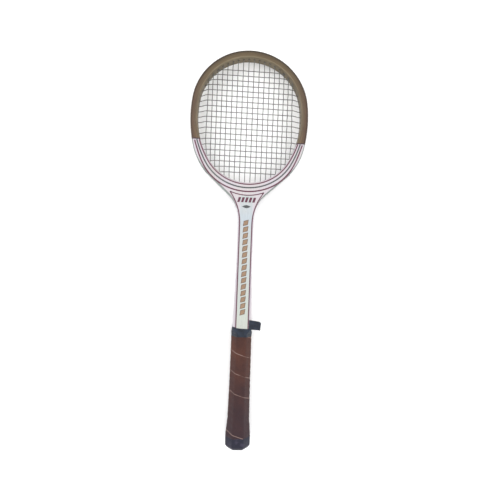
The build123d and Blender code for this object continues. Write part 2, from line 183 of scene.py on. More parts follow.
def make_piece(name, grid, material, replaces=(), wrap_rows=False, smooth=True):
    """Closed mesh from a grid of points (rows, columns, 3), whose rows are closed loops.

    With wrap_rows the last loop joins the first, as round a ring. Otherwise the end loops are capped.
    """
    rows, cols = grid.shape[:2]
    points = grid.reshape(-1, 3)
    quads = faces_of(rows, cols, wrap_rows)
    if signed_volume(points, quads, rows, cols, wrap_rows) < 0:
        quads = quads[:, ::-1]
        ends = [tuple(range(cols)), tuple(range((rows - 1) * cols, rows * cols))[::-1]]
    else:
        ends = [tuple(range(cols))[::-1], tuple(range((rows - 1) * cols, rows * cols))]
    mesh = bpy.data.meshes.new(name)
    mesh.from_pydata(points.tolist(), [], quads.tolist() + ([] if wrap_rows else ends))
    return place_piece(name, mesh, material, replaces, smooth)


def signed_volume(points, quads, rows, cols, wrap_rows):
    """Volume inside a grid's quads and caps, positive when they face outwards."""
    a, b, c, d = (points[quads[:, i]] for i in range(4))
    total = np.einsum("ij,ij->", a, np.cross(b, c)) + np.einsum("ij,ij->", a, np.cross(c, d))
    if not wrap_rows:
        for loop, sign in ((points[:cols], -1), (points[(rows - 1) * cols:], 1)):
            hub = loop.mean(0)
            swept = np.cross(loop, np.roll(loop, -1, 0))
            total += sign * np.einsum("ij,ij->", np.broadcast_to(hub, loop.shape), swept)
    return total


def place_piece(name, mesh, material, replaces, smooth):
    """Links a finished mesh, rides it on the frame and says what it stands for."""
    mesh.validate()
    mesh.materials.append(material)
    mesh.polygons.foreach_set("use_smooth", np.full(len(mesh.polygons), smooth))
    piece = bpy.data.objects.new(name, mesh)
    bpy.context.scene.collection.objects.link(piece)
    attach(piece, "root")
    if replaces:
        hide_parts(*replaces)
    return piece


def octagon_loops(heights, half_widths, half_depths, cuts, corner_radius, per_corner=5, per_flat=4):
    """Loops round the handle's axis: octagons with their corners cut at 45 degrees and rounded.

    A corner is an arc of corner_radius about a point inside it; points between corners are even.
    Returns points (height, loop, 3) and the outward direction of each loop point in X and Z.
    """
    w, d, cut = (np.asarray(v, float)[:, None] for v in (half_widths, half_depths, cuts))
    normals = np.radians(22.5 + 45 * np.arange(8))
    flats = np.radians(45 * np.arange(9))
    support = np.concatenate([w, (w + d - cut) / math.sqrt(2), d, (w + d - cut) / math.sqrt(2)], 1)
    support = np.concatenate([support, support, support[:, :1]], 1) - corner_radius
    here, ahead, lean = support[:, :-1], support[:, 1:], math.sin(math.pi / 4)
    hub_x = (here * np.sin(flats[1:]) - ahead * np.sin(flats[:-1])) / lean
    hub_z = (ahead * np.cos(flats[:-1]) - here * np.cos(flats[1:])) / lean
    angles = normals[:, None] + np.radians(np.linspace(-22.5, 22.5, per_corner))[None, :]
    arc_x = hub_x[:, :, None] + corner_radius * np.cos(angles)
    arc_z = hub_z[:, :, None] + corner_radius * np.sin(angles)
    share = np.arange(1, per_flat + 1) / (per_flat + 1)
    next_x, next_z = np.roll(arc_x, -1, 1)[:, :, :1], np.roll(arc_z, -1, 1)[:, :, :1]
    flat_x = arc_x[:, :, -1:] + (next_x - arc_x[:, :, -1:]) * share
    flat_z = arc_z[:, :, -1:] + (next_z - arc_z[:, :, -1:]) * share
    loop_x = np.concatenate([arc_x, flat_x], 2).reshape(len(w), -1)
    loop_z = np.concatenate([arc_z, flat_z], 2).reshape(len(w), -1)
    flat_angles = np.repeat(flats[1:, None], per_flat, 1)
    facing = np.concatenate([angles, flat_angles], 1).ravel()
    loop_y = np.repeat(np.asarray(heights, float)[:, None], loop_x.shape[1], 1)
    outward = np.stack([np.cos(facing), 0 * facing, np.sin(facing)], -1)
    return np.stack([loop_x, loop_y, loop_z], -1), outward


def follow(start, heading, moves, count):
    """Points and left-hand normals along tangent runs, evenly spaced.

    A move is (radius, turn) with a clockwise turn in radians, or (length, 0). The heading changes at a
    steady rate along each run, and the place is the running sum of the heading's direction.
    """
    lengths = np.array([size * abs(turn) if turn else size for size, turn in moves])
    turns = np.array([turn for _, turn in moves])
    knots = np.concatenate([[0], np.cumsum(lengths)])
    headings = heading - np.concatenate([[0], np.cumsum(turns)])
    fine = np.linspace(0, knots[-1], 20001)
    middle = np.interp((fine[1:] + fine[:-1]) / 2, knots, headings)
    steps = np.diff(fine)
    x = start[0] + np.concatenate([[0], np.cumsum(np.cos(middle) * steps)])
    y = start[1] + np.concatenate([[0], np.cumsum(np.sin(middle) * steps)])
    s = np.linspace(0, knots[-1], count)
    angle = np.interp(s, knots, headings)
    points = np.stack([np.interp(s, fine, x), np.interp(s, fine, y)], -1)
    return points, np.stack([-np.sin(angle), np.cos(angle)], -1)


# ---------------------------------------------------------------- outlines
def end_arc(rise, side_radius):
    """Radius and turn of an oval's end arc, tangent to its side arc, from its rise above the middle."""
    square = bed_half_width**2 + rise**2 - 2 * bed_half_width * side_radius
    radius = square / (2 * (rise - side_radius))
    return radius, math.atan2(side_radius - bed_half_width, rise - radius)


crown_radius, crown_turn = end_arc(crown_y - widest_y, flank_radius_above)
arch_radius, arch_turn = end_arc(widest_y - throat_y, flank_radius)


def oval(offset, count=2001):
    """Right half of the hoop's oval from crown to throat, this far outside its inner face."""
    quarter = math.pi / 2
    moves = [
        (crown_radius + offset, crown_turn),
        (flank_radius_above + offset, quarter - crown_turn),
        (flank_radius + offset, quarter - arch_turn),
        (arch_radius + offset, arch_turn),
    ]
    return follow((0.0, crown_y + offset), 0.0, moves, count)[0]


def height_at(curve, x, above):
    """Height where a right half outline passes x, above or below the widest line."""
    part = curve[curve[:, 1] >= widest_y] if above else curve[curve[:, 1] <= widest_y]
    part = part[np.argsort(part[:, 0])]
    return np.interp(np.abs(x), part[:, 0], part[:, 1])


def reach_at(curve, y):
    """Distance from the axis where a right half outline passes a height."""
    return np.interp(y, curve[::-1, 1], curve[::-1, 0])


def arch_path(count=241):
    """Inner face of the hoop from the widest line on the right, round the throat arch, to the left."""
    flank_turn = math.pi / 2 - arch_turn
    moves = [(flank_radius, flank_turn), (arch_radius, 2 * arch_turn), (flank_radius, flank_turn)]
    return follow((bed_half_width, widest_y), -math.pi / 2, moves, count)


def shoulder_path(foot, count=241):
    """Outer face of the bow on the right, from the widest line down to a height on the shaft."""
    reach = bow_half_width - shaft_half_width
    reach -= bow_flank_radius * (1 - math.cos(bow_flank_turn))
    reach -= shoulder_radius * (math.cos(bow_flank_turn) - math.cos(shoulder_slope))
    reach -= throat_radius * (1 - math.cos(shoulder_slope))
    straight = reach / math.sin(shoulder_slope)
    drop = bow_flank_radius * math.sin(bow_flank_turn)
    drop += shoulder_radius * (math.sin(shoulder_slope) - math.sin(bow_flank_turn))
    drop += straight * math.cos(shoulder_slope) + throat_radius * math.sin(shoulder_slope)
    moves = [
        (bow_flank_radius, bow_flank_turn),
        (shoulder_radius, shoulder_slope - bow_flank_turn),
        (straight, 0),
        (throat_radius, -shoulder_slope),
        (widest_y - drop - foot, 0),
    ]
    return follow((bow_half_width, widest_y), -math.pi / 2, moves, count)


# ---------------------------------------------------------------- string bed
main_count, cross_count = 18, 20
main_spread = 0.0728          # how much closer the outer mains stand than the inner ones
string_radius = 0.65 * mm
weave_height = 0.67 * mm      # a string's middle off the bed's plane where it crosses
hole_row = 1.4 * mm           # mains' holes above the bed's plane, crosses' holes below it
unwoven = 4.5 * mm            # crossings nearer to the hoop than this are not interlaced
groove_depth = 1.9 * mm
channel_offset = 5.5 * mm     # mains' turns at the throat, outside the hoop's inner face
turn_radius = 1.0 * mm
knot_stand = 1.1 * mm         # strings' ends beyond the groove's turns
settle = 13 * mm              # from the hoop to where a string's drag reaches its full size
cross_shift, cross_crowding, cross_kink = 1.2 * mm, 1.0 * mm, 0.42 * mm
main_kink, outer_main_bow = 0.16 * mm, 1.3 * mm
cross_lean, main_lean = -0.006, 0.012   # drag per length across
crowding_period = 24          # in crosses


def crossings():
    """Places of every crossing, rows by main and columns by cross, and how each is interlaced.

    Mains are spaced by u(1 + q) - q u^3 and crosses evenly. Each crossing is then dragged: the crosses
    lean down to the right and crowd a little, and every other crossing is pushed up, less near the hoop.
    """
    hoop = oval(0.0)
    outermost = span("main_string", 0)[1] - string_radius
    low, high = (end + sign * string_radius for end, sign in zip(span("cross_string", 1), (1, -1)))
    u = np.linspace(-1, 1, main_count)
    x, y = np.meshgrid(outermost * (u * (1 + main_spread) - main_spread * u**3),
                       np.linspace(high, low, cross_count), indexing="ij")
    room = np.minimum(height_at(hoop, x, True) - y, y - height_at(hoop, x, False))
    room = np.minimum(room, reach_at(hoop, y) - np.abs(x))
    side = np.where(np.indices(x.shape).sum(0) % 2 == 0, 1.0, -1.0)
    kink = np.random.default_rng(5).uniform(0.35, 1.0, (2, *x.shape))
    free = ease(room / settle)
    crowd = np.sin(2 * math.pi * np.arange(cross_count) / crowding_period)[None, :]
    up = cross_shift + cross_crowding * crowd + cross_lean * x + cross_kink * side * kink[0]
    out = main_lean * x + main_kink * side * kink[1]
    outer_mains = (np.abs(u) > 0.95)[:, None]
    out += outer_main_bow * np.sign(x) * outer_mains * ease(np.arange(cross_count) / 9 - 0.5)[None, :]
    return x + out * free, y + up * free, x[:, 0], y[0], side, room > unwoven, room > 0


def eased(s, values, step=1.5 * mm):
    """Evenly spaced places from s[0] to s[-1], with values eased between knots by half a cosine."""
    fine = np.linspace(s[0], s[-1], int(abs(s[-1] - s[0]) / step) + 2)
    k = np.clip(np.searchsorted(s, fine, side="right") - 1, 0, len(s) - 2)
    t = 0.5 - 0.5 * np.cos(math.pi * (fine - s[k]) / (s[k + 1] - s[k]))
    return fine, values[:, k] + (values[:, k + 1] - values[:, k]) * t


def corner(a, c, b, t=np.linspace(0, 1, 6)[:, None]):
    """Points round a corner: a quadratic curve from a turn radius before c to a turn radius after it."""
    before = c + (a - c) / np.linalg.norm(a - c) * turn_radius
    after = c + (b - c) / np.linalg.norm(b - c) * turn_radius
    return (1 - t) ** 2 * before + 2 * t * (1 - t) * c + t**2 * after


def tube(name, path, material, node, sides=8):
    """Round string carried along a path that stays nearly level: loops of r(cos a n + sin a b)."""
    along = np.gradient(path, axis=0)
    along /= np.linalg.norm(along, axis=1, keepdims=True)
    across = np.cross((0.0, 0.0, 1.0), along)
    across /= np.linalg.norm(across, axis=1, keepdims=True)
    up = np.cross(along, across)
    angle = np.linspace(0, 2 * math.pi, sides, endpoint=False)[None, :, None]
    grid = path[:, None] + string_radius * (np.cos(angle) * across[:, None] + np.sin(angle) * up[:, None])
    make_piece(name, grid, material, (node,))


def make_strings(material):
    """Mains and crosses, each one length that turns outside the hoop or in the wedge's channel."""
    px, py, xs, ys, side, woven, inside = crossings()
    hoop, channel = oval(0.0), oval(channel_offset)
    groove_offset = hoop_width - groove_depth + turn_radius
    groove = oval(groove_offset)
    shoulder, out = shoulder_path(wedge_foot, 4001)
    shoulder = np.vstack([groove[groove[:, 1] > widest_y], shoulder + out * (groove_offset - hoop_width)])

    runs = []
    for i in range(main_count):
        low, high = height_at(hoop, xs[i], False), height_at(hoop, xs[i], True)
        at = np.flatnonzero(inside[i])[::-1]
        s = np.concatenate([[low], py[i, at], [high]])
        level = np.where(woven[i, at], side[i, at] * weave_height, hole_row)
        across = np.concatenate([[xs[i]], px[i, at], [xs[i]]])
        y, (x, z) = eased(s, np.stack([across, np.concatenate([[hole_row], level, [hole_row]])]))
        run = np.stack([x, y, z], -1)
        runs.append(run if i % 2 == 0 else run[::-1])
    foot = height_at(shoulder, xs[0], False) - knot_stand
    parts = [np.array([[xs[0], foot, hole_row]])]
    for i, run in enumerate(runs):
        parts.append(run)
        if i < main_count - 1:
            turn, above = (groove, True) if i % 2 == 0 else (channel, False)
            a, b = (np.array([xs[k], height_at(turn, xs[k], above), hole_row]) for k in (i, i + 1))
            parts += [corner(run[-1], a, b), corner(a, b, runs[i + 1][0])]
    parts.append(np.array([[xs[-1], foot, hole_row]]))
    tube("woven_mains", np.vstack(parts), material, "main_string")

    runs = []
    for j in range(cross_count):
        reach = reach_at(hoop, ys[j])
        at = np.flatnonzero(inside[:, j])
        s = np.concatenate([[-reach], px[at, j], [reach]])
        level = np.where(woven[at, j], -side[at, j] * weave_height, -hole_row)
        up = np.concatenate([[ys[j]], py[at, j], [ys[j]]])
        x, (y, z) = eased(s, np.stack([up, np.concatenate([[-hole_row], level, [-hole_row]])]))
        run = np.stack([x, y, z], -1)
        runs.append(run if j % 2 == 0 else run[::-1])
    parts = [np.array([[-reach_at(shoulder, ys[0]) - knot_stand, ys[0], -hole_row]])]
    for j, run in enumerate(runs):
        parts.append(run)
        if j < cross_count - 1:
            way = 1 if j % 2 == 0 else -1
            a, b = (np.array([way * reach_at(shoulder, ys[k]), ys[k], -hole_row]) for k in (j, j + 1))
            parts += [corner(run[-1], a, b), corner(a, b, runs[j + 1][0])]
    parts.append(np.array([[-reach_at(shoulder, ys[-1]) - knot_stand, ys[-1], -hole_row]]))
    tube("woven_crosses", np.vstack(parts), material, "cross_string")


# ---------------------------------------------------------------- materials
paint_boundary = 0.9 * mm     # dark band between the white paint and the bare wood
hole_shade_reach = 1.9 * mm         # how far from a string hole's middle the wood is darkened by painted shade


def hole_shade_share(add, parts):
    """Share of painted shade round the string holes: 1 at a hole's rim, 0 a little outside it.

    The distance is taken square to the hole: from the nearest main's place across and its row in
    depth, or from the nearest cross's height, which repeats evenly, and its own row.
    """
    outermost = span("main_string", 0)[1] - string_radius
    low, high = (end + sign * string_radius for end, sign in zip(span("cross_string", 1), (1, -1)))
    u = (np.arange(main_count // 2) + 0.5) / (main_count / 2 - 0.5)
    away = add("Math", parts[0], operation="ABSOLUTE")
    mains = 1.0
    for x in outermost * (u * (1 + main_spread) - main_spread * u**3):
        mains = add(
            "Math", mains,
            add("Math", add("Math", away, x, operation="SUBTRACT"), operation="ABSOLUTE"),
            operation="MINIMUM"
        )
    pitch = (high - low) / (cross_count - 1)
    crosses = add(
        "Math", add("Math", parts[1], low, operation="SUBTRACT"), pitch / 2, operation="PINGPONG"
    )
    past_first = add("MapRange", parts[1], high + hole_shade_reach, high + hole_shade_reach + 0.1 * mm)
    crosses = add("Math", crosses, past_first, operation="ADD")
    depths = [add("Math", parts[2], row, operation="SUBTRACT") for row in (hole_row, -hole_row)]
    near = 1.0
    for flat, depth in zip((mains, crosses), depths):
        flat, depth = (add("Math", v, v, operation="MULTIPLY") for v in (flat, depth))
        near = add(
            "Math", near, add("Math", add("Math", flat, depth, operation="ADD"), operation="SQRT"),
            operation="MINIMUM"
        )
    return add("MapRange", near, 0.7 * hole_shade_reach, hole_shade_reach, 1.0, 0.0)


def varnished_ash(name, side, crown, rim=None, holes=False):
    """Aged ash ply, stained and varnished, painted below the shoulders.

    side and crown are (dark, light) colours at the flanks and at the head. Grain lines run with the
    bend: noise on polar coordinates about the head's middle, drawn out along the turn. Broad noise
    fades the stain, and a thin dark band ends the paint.
    """
    material, add, place, parts = new_material(name)
    lean = add("Math", parts[1], widest_y - 5 * mm, operation="SUBTRACT")
    out = add(
        "Math",
        add(
            "Math", add("Math", parts[0], parts[0], operation="MULTIPLY"),
            add("Math", lean, lean, operation="MULTIPLY"), operation="ADD"
        ),
        operation="SQRT"
    )
    turn = add("Math", add("Math", parts[0], lean, operation="ARCTAN2"), 0.006, operation="MULTIPLY")
    polar = add("CombineXYZ", out, turn, parts[2])
    grain = add("TexNoise", Vector=polar, Scale=1 / (1.11 * mm), Detail=4.0, Roughness=0.6)
    figure = add("TexNoise", Vector=polar, Scale=1 / (4.55 * mm), Detail=2.0, Roughness=0.5)
    stain = add("TexNoise", Vector=place, Scale=1 / (38.5 * mm), Detail=4.0, Roughness=0.65)
    share = add(
        "Math", add("MapRange", grain, 0.35, 0.68, 0.0, 0.6),
        add("MapRange", figure, 0.3, 0.7, 0.0, 0.4), operation="ADD"
    )
    above = add("MapRange", parts[1], widest_y + 25 * mm, crown_y - 15 * mm)
    dark, light = (add("MixRGB", above, linear(side[k]), linear(crown[k])) for k in (0, 1))
    wood = add("MixRGB", share, dark, light)
    wood = add("MixRGB", add("MapRange", stain, 0.42, 0.72, 0.0, 0.5), wood, dark)
    # painted shade: the wood is darkened round the string holes, standing for the shadow in their mouths
    if holes:
        wood = add(
            "MixRGB", add("Math", hole_shade_share(add, parts), 0.85, operation="MULTIPLY"), wood,
            linear("#1c150e")
        )
    white = paint_colour(add, place, parts)
    # rim: the outer ply's painted rounding, lilac-grey down the shaft and grey-green at the shoulders;
    # partly worn paint, partly painted shade on the edge that turns away from the light
    if rim:
        white = add(
            "MixRGB", add("MapRange", parts[1], neck_y + 20 * mm, panel_dip_y), *map(linear, rim)
        )
    worn = add("TexNoise", Vector=place, Scale=1 / (4.17 * mm), Detail=4.0, Roughness=0.7)
    white = add("MixRGB", add("MapRange", worn, 0.58, 0.7, 0.0, 0.45), white, linear("#5d594f"))
    over = add("MapRange", parts[1], paint_top - 1.0 * mm, paint_top - 0.8 * mm)
    painted = add("MixRGB", over, white, linear("#37252b"))
    bare = add("MapRange", parts[1], paint_top + paint_boundary, paint_top + 2 * paint_boundary)
    colour = add("MixRGB", bare, painted, wood)
    pores = add("TexNoise", Vector=polar, Scale=1 / (0.38 * mm), Detail=2.0, Roughness=0.5)
    gloss = add("Math", stain, 0.2, 0.36, operation="MULTIPLY_ADD")
    close_material(add, colour, gloss, bump=pores, depth=0.03 * mm, Specular_IOR_Level=0.3,
                   Coat_Weight=0.08, Coat_Roughness=0.25)
    return material


def paint_colour(add, place, parts):
    """Old white paint: cool in the panel, creamier down the shaft, faintly pink outside the red lines.

    It has yellowed in broad patches and greyed in small ones.
    """
    patches = add("TexNoise", Vector=place, Scale=1 / (71.4 * mm), Detail=3.0, Roughness=0.6)
    grime = add("TexNoise", Vector=place, Scale=1 / (6.25 * mm), Detail=4.0, Roughness=0.65)
    white = add(
        "MixRGB", add("MapRange", parts[1], tail_high, neck_y), linear("#a6ada6"), linear("#a3abb1")
    )
    aside = add(
        "MapRange", add("Math", parts[0], operation="ABSOLUTE"), shaft_line_x, shaft_line_x + 1 * mm
    )
    above = add("MapRange", parts[1], panel_dip_y - 1 * mm, panel_dip_y)
    white = add("MixRGB", add("Math", aside, above, operation="MAXIMUM"), white, linear("#b2abb3"))
    white = add("MixRGB", add("MapRange", patches, 0.4, 0.7, 0.0, 0.5), white, linear("#b1ada3"))
    return add("MixRGB", add("MapRange", grime, 0.6, 0.85, 0.0, 0.35), white, linear("#85817d"))


def white_lacquer():
    """White cellulose lacquer over a fibre facing: glossy, with a faint orange-peel and fine rubs."""
    material, add, place, parts = new_material("white_cellulose_lacquer")
    colour = paint_colour(add, place, parts)
    edge = add("MapRange", parts[1], paint_top - 1.0 * mm, paint_top - 0.8 * mm)
    colour = add("MixRGB", edge, colour, linear("#37252b"))
    peel = add("TexNoise", Vector=place, Scale=1 / (2.86 * mm), Detail=2.0, Roughness=0.4)
    rubs = add(
        "TexNoise",
        Vector=add("Mapping", Vector=place, Scale=(1 / (1.11 * mm), 1 / (16.7 * mm), 1 / (1.11 * mm))),
        Scale=1.0, Detail=3.0, Roughness=0.6
    )
    rough = add("MapRange", rubs, 0.5, 0.8, 0.25, 0.5)
    close_material(add, colour, rough, bump=peel, depth=0.02 * mm, Coat_Weight=0.2, Coat_Roughness=0.15)
    return material


def lacquer_line(name, code, fade="#a39a9c"):
    """Thin coloured lacquer, rubbed through in specks."""
    material, add, place, parts = new_material(name)
    wear = add("TexNoise", Vector=place, Scale=1 / (2.38 * mm), Detail=4.0, Roughness=0.7)
    tone = add("TexNoise", Vector=place, Scale=1 / (16.7 * mm), Detail=2.0, Roughness=0.5)
    colour = add(
        "MixRGB", add("Math", tone, 0.35, operation="MULTIPLY"), linear(code), linear("#3c2027")
    )
    colour = add("MixRGB", add("MapRange", wear, 0.6, 0.72, 0.0, 0.7), colour, linear(fade))
    close_material(add, colour, 0.3, Coat_Weight=0.3, Coat_Roughness=0.15)
    return material


def plain_wood(name, dark, light):
    """Straight-grained beech or ash end pieces, painted where they leave the grip."""
    material, add, place, parts = new_material(name)
    grain = add(
        "TexNoise",
        Vector=add("Mapping", Vector=place, Scale=(1 / (1.11 * mm), 1 / (40 * mm), 1 / (1.11 * mm))),
        Scale=1.0, Detail=4.0, Roughness=0.6
    )
    wood = add("MixRGB", add("MapRange", grain, 0.3, 0.7), linear(dark), linear(light))
    painted = add("MapRange", parts[1], grip_top, grip_top + 0.5 * mm)
    colour = add("MixRGB", painted, wood, paint_colour(add, place, parts))
    close_material(add, colour, 0.4, bump=grain, depth=0.03 * mm)
    return material


seam_pitch = 34.5 * mm
seam_start = 164.5 * mm       # height of one seam at the middle of the front
most_held = 61 * mm           # where the hand has rubbed the pale edges away
leather_round = 5.0 * mm      # rounding that the leather gives the handle's corners


def seam_phase(add, parts):
    """Share across the wound strip at a place: height less the turn round the handle, in pitches."""
    turn = add(
        "Math", add("Math", parts[2], parts[0], operation="ARCTAN2"), 2 * math.pi, operation="DIVIDE"
    )
    height = add(
        "Math", add("Math", parts[1], seam_start - seam_pitch / 4, operation="SUBTRACT"), seam_pitch,
        operation="DIVIDE"
    )
    return add("Math", add("Math", height, turn, operation="SUBTRACT"), operation="FRACT")


def calf_leather():
    """Worn calf leather: pebble grain, broad stains, darker and bluer by the butt, pale cut edges."""
    material, add, place, parts = new_material("worn_calf_leather")
    phase = seam_phase(add, parts)
    broad = add("TexNoise", Vector=place, Scale=1 / (26.3 * mm), Detail=4.0, Roughness=0.6)
    fine = add("TexNoise", Vector=place, Scale=1 / (2.38 * mm), Detail=4.0, Roughness=0.65)
    colour = add("MixRGB", add("MapRange", broad, 0.3, 0.7), linear("#361f1c"), linear("#4c2c22"))
    colour = add("MixRGB", add("MapRange", fine, 0.5, 0.8, 0.0, 0.4), colour, linear("#231615"))
    to_butt = add("MapRange", parts[1], grip_top - 40 * mm, cap_top)
    colour = add("MixRGB", add("Math", to_butt, 0.75, operation="MULTIPLY"), colour, linear("#241d27"))
    from_edge = add("Math", phase, add("Math", 1.0, phase, operation="SUBTRACT"), operation="MINIMUM")
    pale = add("MapRange", from_edge, 0.008, 0.022, 1.0, 0.0)
    rubbed = add(
        "MapRange", add("TexNoise", Vector=place, Scale=1 / (16.7 * mm), Detail=3.0, Roughness=0.6),
        0.3, 0.55
    )
    held = add("Math", add("Math", parts[1], most_held, operation="SUBTRACT"), operation="ABSOLUTE")
    rubbed = add("Math", rubbed, add("MapRange", held, 12 * mm, 22 * mm), operation="MULTIPLY")
    colour = add("MixRGB", add("Math", pale, rubbed, operation="MULTIPLY"), colour, linear("#7d6862"))
    pebble = add("TexVoronoi", Vector=place, Scale=1 / (1.1 * mm), feature="DISTANCE_TO_EDGE")
    height = add(
        "Math",
        add("MapRange", pebble, 0.0, 0.25, 0.0, 0.6),
        add(
            "Math", add("TexNoise", Vector=place, Scale=1 / (6.25 * mm), Detail=3.0, Roughness=0.6),
            0.9, operation="MULTIPLY"
        ),
        operation="ADD"
    )
    rough = add("Math", broad, 0.25, 0.42, operation="MULTIPLY_ADD")
    close_material(add, colour, rough, bump=height, depth=0.18 * mm, Specular_IOR_Level=0.2)
    return material


def vinyl_tape():
    """Black PVC insulating tape: smooth, faintly stretched into ripples, dusty at its edges."""
    material, add, place, parts = new_material("black_pvc_tape")
    dust = add("TexNoise", Vector=place, Scale=1 / (8.33 * mm), Detail=4.0, Roughness=0.6)
    colour = add("MixRGB", add("MapRange", dust, 0.4, 0.8), linear("#111824"), linear("#263040"))
    ripple = add(
        "TexNoise",
        Vector=add("Mapping", Vector=place, Scale=(1 / (8.33 * mm), 1 / (1.43 * mm), 1 / (8.33 * mm))),
        Scale=1.0, Detail=3.0, Roughness=0.5
    )
    rough = add("Math", dust, 0.2, 0.32, operation="MULTIPLY_ADD")
    close_material(add, colour, rough, bump=ripple, depth=0.12 * mm, Specular_IOR_Level=0.3)
    return material


def moulded_cap():
    """Blue-black moulded PVC with a dull leather-like grain and scuffed corners."""
    material, add, place, parts = new_material("blue_black_moulded_pvc")
    scuff = add("TexNoise", Vector=place, Scale=1 / (11.1 * mm), Detail=5.0, Roughness=0.65)
    colour = add("MixRGB", add("MapRange", scuff, 0.5, 0.78), linear("#1a1a29"), linear("#3f3b4c"))
    grain = add("TexVoronoi", Vector=place, Scale=1 / (0.9 * mm), feature="DISTANCE_TO_EDGE")
    rough = add("Math", scuff, 0.25, 0.4, operation="MULTIPLY_ADD")
    close_material(
        add, colour, rough, bump=add("MapRange", grain, 0.0, 0.3), depth=0.06 * mm,
        Specular_IOR_Level=0.25
    )
    return material


def nylon_string():
    """Grey multifilament nylon: glossy, its fibres seen as a fine twist."""
    material, add, place, parts = new_material("grey_nylon_string")
    shade = add("TexNoise", Vector=place, Scale=1 / (14.3 * mm), Detail=3.0, Roughness=0.6)
    colour = add("MixRGB", add("MapRange", shade, 0.35, 0.7), linear("#4a4a46"), linear("#6c6c66"))
    twist = add("TexWave", Vector=place, Scale=1 / (1.1 * mm), Distortion=1.0,
                bands_direction="DIAGONAL", output="Fac")
    close_material(add, colour, 0.32, bump=twist, depth=0.03 * mm, Specular_IOR_Level=0.5)
    return material


def bright_nail():
    """Bright drawn steel nail."""
    material, add, place, parts = new_material("bright_steel_nail")
    drawn = add(
        "TexNoise",
        Vector=add("Mapping", Vector=place, Scale=(1 / (0.33 * mm), 1 / (0.33 * mm), 1 / (12.5 * mm))),
        Scale=1.0, Detail=2.0, Roughness=0.5
    )
    close_material(add, linear("#b8b8ba"), 0.3, bump=drawn, depth=0.01 * mm, Metallic=1.0)
    return material


def dress_frame():
    """Materials of the CAD nodes that stay."""
    for node, name, side, crown, extra in (
        ("outer_bow", "dark_stained_ash", ("#33241b", "#4a382b"), ("#271c13", "#392c1f"),
         dict(rim=("#a79fa6", "#727a76"))),
        ("middle_bow", "brown_varnished_ash", ("#453428", "#5c4838"), ("#3e3224", "#534631"), {}),
        ("inner_bow", "light_brown_varnished_ash", ("#49392c", "#604f3e"), ("#483a29", "#5e5139"), {}),
        ("ring_outer", "grey_brown_varnished_ash", ("#4c3f32", "#635443"), ("#4d3f2d", "#64553d"), {}),
        ("ring_inner", "olive_varnished_ash", ("#564b3b", "#6f624e"), ("#5a503d", "#746851"),
         dict(holes=True)),
        ("throat_wedge", "wedge_beech", ("#5a4633", "#6f5840"), ("#5a4633", "#6f5840"), {}),
    ):
        dress(node, varnished_ash(name, side, crown, **extra))
    beech = plain_wood("straight_grained_beech", "#735a40", "#8a6f50")
    for node in ("shaft_core", "front_cheek", "back_cheek", "right_cheek", "left_cheek"):
        dress(node, beech)
    lacquer = white_lacquer()
    dress("front_overlay", lacquer)
    dress("back_overlay", lacquer)
    dress("string_knots", nylon_string())
    dress("grip_tack", bright_nail())


# ---------------------------------------------------------------- painted lines and marks
line_low = 0.03 * mm          # lines start this far inside the lacquer
line_high = 0.05 * mm         # and stand this far out of it
panel_line, shaft_line = 1.7 * mm, 1.8 * mm   # widths
red_bar_y, red_bar_pitch = throat_y - 29.9 * mm, 6.4 * mm
red_bar = (4.2 * mm, 8.6 * mm, 0.3)           # width, height, lean
lens_y, lens_reach, lens_rise = throat_y - 41.5 * mm, 8 * mm, 2.6 * mm
gold_bar_y, gold_bar_pitch, gold_bar_lean = 236.5 * mm, 10.9 * mm, 0.12
gold_bar_slope = 1.3 * mm     # rise of a gold bar's right side, and drop of its left


def both_faces():
    """Face names with the height of the painted surface and the sign of its outward direction."""
    return (("front", paint_z, 1.0), ("back", -paint_z, -1.0))


def ribbon(points, normals, offsets, width, surface, sign):
    """Grid of a flat strip along points moved by offsets along their normals, four points a section."""
    middle = points + normals * np.broadcast_to(offsets, len(points))[:, None]
    inner, outer = middle - normals * width / 2, middle + normals * width / 2
    low = np.full((len(points), 1), surface - sign * line_low)
    high = np.full((len(points), 1), surface + sign * line_high)
    ends = ((inner, low), (inner, high), (outer, high), (outer, low))
    corners = [np.hstack(pair) for pair in ends]
    return np.stack(corners, 1)


def ease(t):
    """Smooth step from 0 to 1."""
    t = np.clip(t, 0, 1)
    return t * t * (3 - 2 * t)


def make_lines(crimson, slate):
    """Three lines round the throat, and the red panel line that runs on down both sides of the shaft."""
    arch, out = arch_path()
    low = ease((paint_top - arch[:, 1]) / (paint_top - throat_y))
    rows = (
        ("inner_red_line", 1.8, 3.2, 2.1, crimson),
        ("grey_line", 5.8, 9.0, 2.4, slate),
        ("outer_red_line", 9.6, 15.5, 2.4, crimson),
    )
    for face, surface, sign in both_faces():
        for name, at_flank, at_throat, width, paint in rows:
            offsets = (at_flank + (at_throat - at_flank) * low) * mm
            keep = (arch + out * offsets[:, None])[:, 1] < paint_top - paint_boundary
            grid = ribbon(arch[keep], out[keep], offsets[keep], width * mm, surface, sign)
            make_piece(f"{name}_{face}", grid, paint, smooth=False)
        t = np.linspace(-1, 1, 61)
        bow = np.stack([t * panel_half_width, panel_dip_y + (panel_corner_y - panel_dip_y) * t**2], -1)
        grid = ribbon(bow, normals_of(bow), 0.0, panel_line, surface, sign)
        make_piece(f"panel_line_{face}", grid, crimson, smooth=False)
        y = np.linspace(panel_corner_y, tail_high - 14 * mm, 161)
        flare = np.clip((y - neck_y) / (panel_corner_y - neck_y), 0, 1) ** 2.2
        side = np.stack([shaft_line_x + (panel_half_width - shaft_line_x) * flare, y], -1)
        for flip, end in ((1, "right"), (-1, "left")):
            line = side * (flip, 1)
            grid = ribbon(line, normals_of(line), 0.0, shaft_line, surface, sign)
            make_piece(f"shaft_line_{end}_{face}", grid, crimson, smooth=False)


def normals_of(points):
    """Directions square to a flat path, on its left."""
    along = np.gradient(points, axis=0)
    along /= np.linalg.norm(along, axis=1, keepdims=True)
    return np.stack([-along[:, 1], along[:, 0]], -1)


